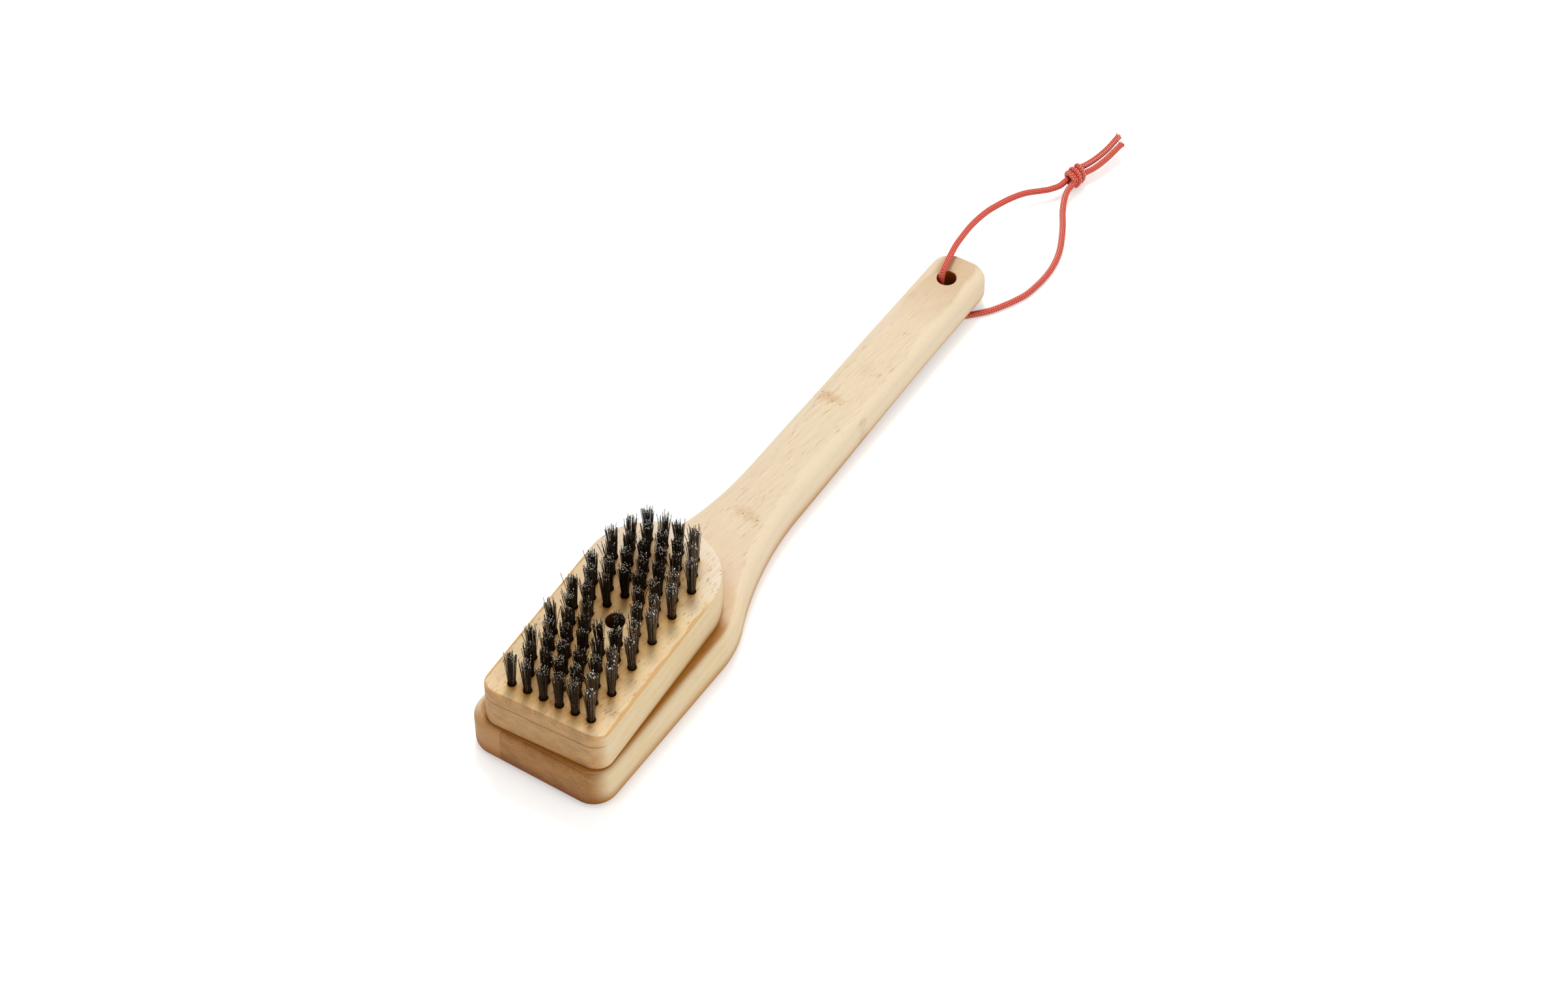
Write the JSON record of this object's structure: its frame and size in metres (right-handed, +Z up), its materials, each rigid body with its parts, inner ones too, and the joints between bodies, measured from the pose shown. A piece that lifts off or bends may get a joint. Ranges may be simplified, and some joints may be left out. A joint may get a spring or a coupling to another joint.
{
  "type": "grill brush",
  "caption": "Bamboo grill brush with a paddle handle, a D-shaped wire-tuft head held by one screw, and a looped hang cord.",
  "frame": {"origin": "on the resting surface, below the middle of the board's length and width, the hang cord left out", "axes": "+Z up through the bristles, +Y along the board from the head to the grip's end, +X across to the right seen from the head's front"},
  "size_m": [0.061, 0.4093, 0.0526],
  "materials": {
    "bamboo_board": "sanded bamboo, matt",
    "bamboo_face": "sanded bamboo, matt",
    "bamboo_back": "sanded bamboo edge grain, matt",
    "bristle_wire": "dark crimped steel wire",
    "screw_steel": "zinc-plated steel",
    "hang_cord": "round braid, coral red with light flecks"
  },
  "bodies": {
    "handle": {"handle_board": "bamboo_board", "cord_upper": "hang_cord", "cord_lower": "hang_cord", "cord_knot": "hang_cord", "cord_tail_a": "hang_cord", "cord_tail_b": "hang_cord"},
    "screw": {"mounting_screw": "screw_steel"},
    "head": {"head_back_layer": "bamboo_back", "head_face_layer": "bamboo_face", "bristle_row_01": "bristle_wire", "bristle_row_02": "bristle_wire", "bristle_row_03": "bristle_wire", "bristle_row_04": "bristle_wire", "bristle_row_05": "bristle_wire", "bristle_row_06": "bristle_wire", "bristle_row_07": "bristle_wire", "bristle_row_08": "bristle_wire", "bristle_row_09": "bristle_wire", "bristle_row_10": "bristle_wire", "bristle_row_11": "bristle_wire", "bristle_row_12": "bristle_wire", "bristle_row_13": "bristle_wire"}
  },
  "joints": [
    {"name": "screw_lift", "type": "slide", "parent": "handle", "child": "screw", "axis": [0, 0, 1], "range_m": [0, 0.012]},
    {"name": "head_swivel", "type": "hinge", "parent": "screw", "child": "head", "pos_m": [0, -0.0977, 0.0183], "axis": [0, 0, 1], "continuous": true}
  ]
}
